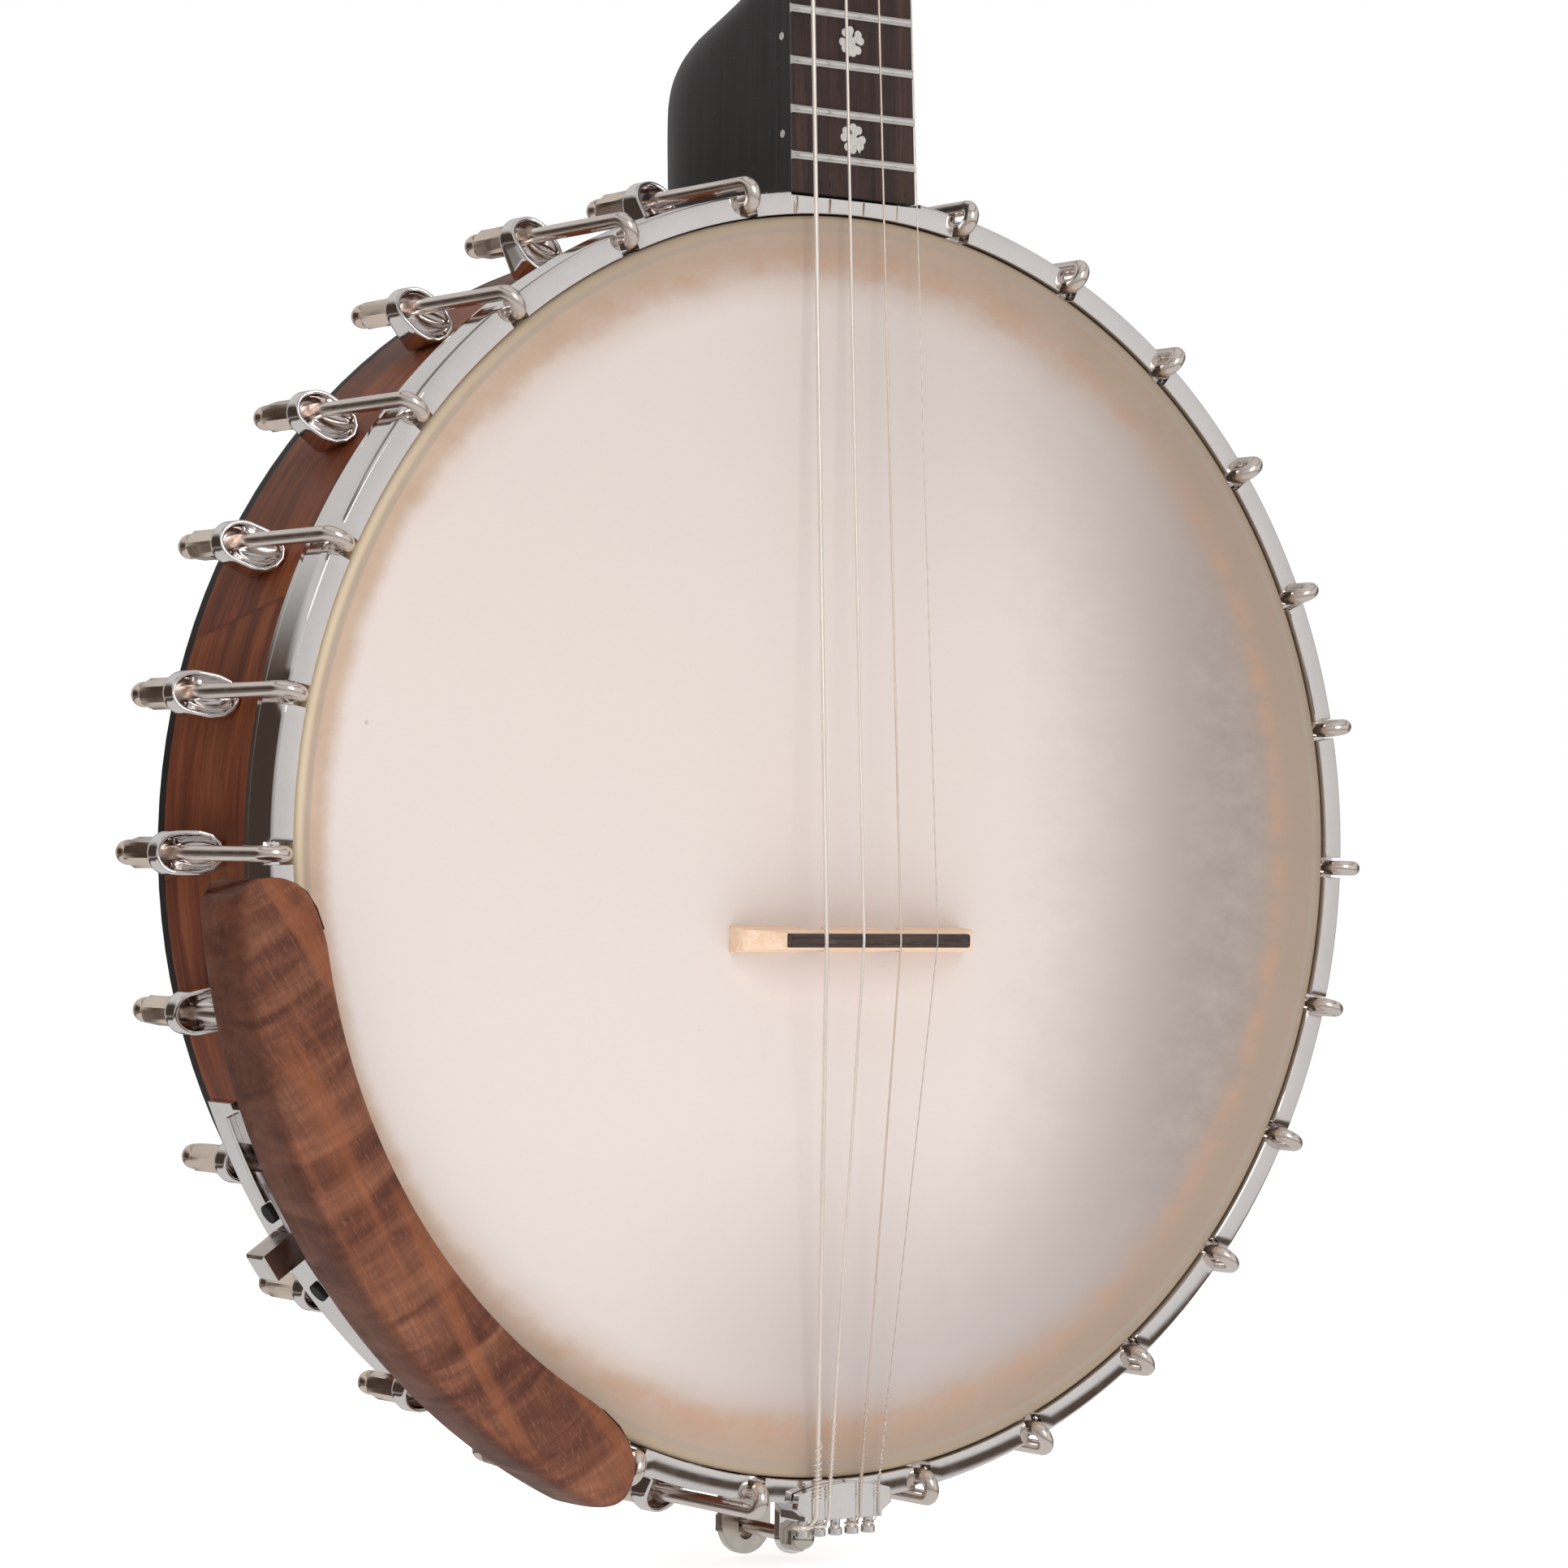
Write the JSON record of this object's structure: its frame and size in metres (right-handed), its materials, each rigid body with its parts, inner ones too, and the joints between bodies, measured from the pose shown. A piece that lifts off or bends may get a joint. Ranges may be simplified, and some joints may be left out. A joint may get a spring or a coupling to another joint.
{
  "type": "banjo",
  "caption": "Open-back tenor banjo: wooden pot, hooked tension hoop and head, fretted neck, strings over a bridge, tailpiece, armrest and planetary tuners.",
  "frame": {"origin": "pot axis at the playing surface of the head", "axes": "+Z along the neck towards the headstock, +Y to the open back of the pot, +X across the pot to the right of someone facing the head"},
  "size_m": [0.3404, 0.1109, 0.8432],
  "materials": {
    "rim_wood": "brown stained hardwood blocks under satin lacquer",
    "ebonised_wood": "black satin edge",
    "brass_rod": "rolled rod, dull",
    "head_film": "frosted warm white polyester, slightly translucent",
    "hoop_aluminium": "drawn channel",
    "chrome_plate": "polished chrome",
    "nickel_wire": "nickel plated wire, faint drawing lines",
    "nickel_plate": "polished nickel, warm",
    "zinc_steel": "zinc plated",
    "bridge_maple": "bare maple",
    "ebony": "oiled ebony",
    "armrest_maple": "curly maple, red brown stain, satin",
    "black_rubber": "matt",
    "black_lacquer_wood": "black satin lacquer",
    "rosewood": "open grained, oiled",
    "fret_wire": "dressed nickel silver",
    "pearl_inlay": "pearl",
    "bone": "polished bone",
    "black_plastic": "laminated plastic",
    "wound_steel": "round wound",
    "wound_bronze": "round wound bronze",
    "plain_steel": "plain wire",
    "pearloid": "cream pearloid"
  },
  "bodies": {
    "banjo": {"armrest_bar": "chrome_plate", "armrest_clamp_plate": "chrome_plate", "armrest_clamp_screw": "nickel_plate", "armrest_grommets": "black_rubber", "armrest_wood": "armrest_maple", "armrest_wood_screws": "zinc_steel", "bracket_hooks": "nickel_wire", "bracket_nuts": "nickel_plate", "bracket_shoes": "chrome_plate", "bridge_body": "bridge_maple", "bridge_saddle": "ebony", "clover_inlays": "pearl_inlay", "coordinator_rod": "zinc_steel", "drum_head": "head_film", "fingerboard": "rosewood", "flesh_hoop": "hoop_aluminium", "frets": "fret_wire", "headstock_veneer": "black_lacquer_wood", "neck": "black_lacquer_wood", "neck_hanger_bolts": "zinc_steel", "neck_steel_nuts": "zinc_steel", "rim_edge_cap": "ebonised_wood", "rim_shell": "rim_wood", "rod_tail_bolt": "zinc_steel", "shoe_bolts": "zinc_steel", "side_dots": "pearl_inlay", "string_1": "wound_steel", "string_2": "wound_steel", "string_3": "wound_bronze", "string_4": "plain_steel", "string_nut": "bone", "tailpiece_acorn_nut": "nickel_plate", "tailpiece_body": "chrome_plate", "tailpiece_bolt": "nickel_wire", "tailpiece_bracket": "nickel_plate", "tailpiece_bracket_nuts": "nickel_plate", "tailpiece_posts": "chrome_plate", "tension_hoop": "chrome_plate", "tone_ring": "brass_rod", "truss_cover_screw": "chrome_plate", "truss_rod": "zinc_steel", "truss_rod_cover": "black_plastic", "tuner_bushings": "nickel_plate", "tuner_housings": "nickel_plate"},
    "post_1": {"tuner_post_1": "nickel_plate", "string_wrap_1": "wound_steel"},
    "button_1": {"tuner_shaft_1": "zinc_steel", "tuner_button_1": "pearloid"},
    "post_2": {"tuner_post_2": "nickel_plate", "string_wrap_2": "wound_steel"},
    "button_2": {"tuner_shaft_2": "zinc_steel", "tuner_button_2": "pearloid"},
    "post_3": {"tuner_post_3": "nickel_plate", "string_wrap_3": "wound_bronze"},
    "button_3": {"tuner_shaft_3": "zinc_steel", "tuner_button_3": "pearloid"},
    "post_4": {"tuner_post_4": "nickel_plate", "string_wrap_4": "plain_steel"},
    "button_4": {"tuner_shaft_4": "zinc_steel", "tuner_button_4": "pearloid"}
  },
  "joints": [
    {"name": "button_1_turn", "type": "hinge", "parent": "banjo", "child": "button_1", "pos_m": [-0.017, 0.03527, 0.58735], "axis": [0, 0.9571, -0.2899], "continuous": true},
    {"name": "post_1_turn", "type": "hinge", "parent": "banjo", "child": "post_1", "pos_m": [-0.017, 0.03527, 0.58735], "axis": [0, 0.9571, -0.2899], "continuous": true},
    {"name": "button_2_turn", "type": "hinge", "parent": "banjo", "child": "button_2", "pos_m": [-0.015, 0.04744, 0.62755], "axis": [0, 0.9571, -0.2899], "continuous": true},
    {"name": "post_2_turn", "type": "hinge", "parent": "banjo", "child": "post_2", "pos_m": [-0.015, 0.04744, 0.62755], "axis": [0, 0.9571, -0.2899], "continuous": true},
    {"name": "button_3_turn", "type": "hinge", "parent": "banjo", "child": "button_3", "pos_m": [0.015, 0.04744, 0.62755], "axis": [0, 0.9571, -0.2899], "continuous": true},
    {"name": "post_3_turn", "type": "hinge", "parent": "banjo", "child": "post_3", "pos_m": [0.015, 0.04744, 0.62755], "axis": [0, 0.9571, -0.2899], "continuous": true},
    {"name": "button_4_turn", "type": "hinge", "parent": "banjo", "child": "button_4", "pos_m": [0.017, 0.03527, 0.58735], "axis": [0, 0.9571, -0.2899], "continuous": true},
    {"name": "post_4_turn", "type": "hinge", "parent": "banjo", "child": "post_4", "pos_m": [0.017, 0.03527, 0.58735], "axis": [0, 0.9571, -0.2899], "continuous": true}
  ],
  "couplings": [
    {"joint": "post_1_turn", "follows": "button_1_turn", "ratio": 0.25},
    {"joint": "post_2_turn", "follows": "button_2_turn", "ratio": 0.25},
    {"joint": "post_3_turn", "follows": "button_3_turn", "ratio": 0.25},
    {"joint": "post_4_turn", "follows": "button_4_turn", "ratio": 0.25}
  ]
}
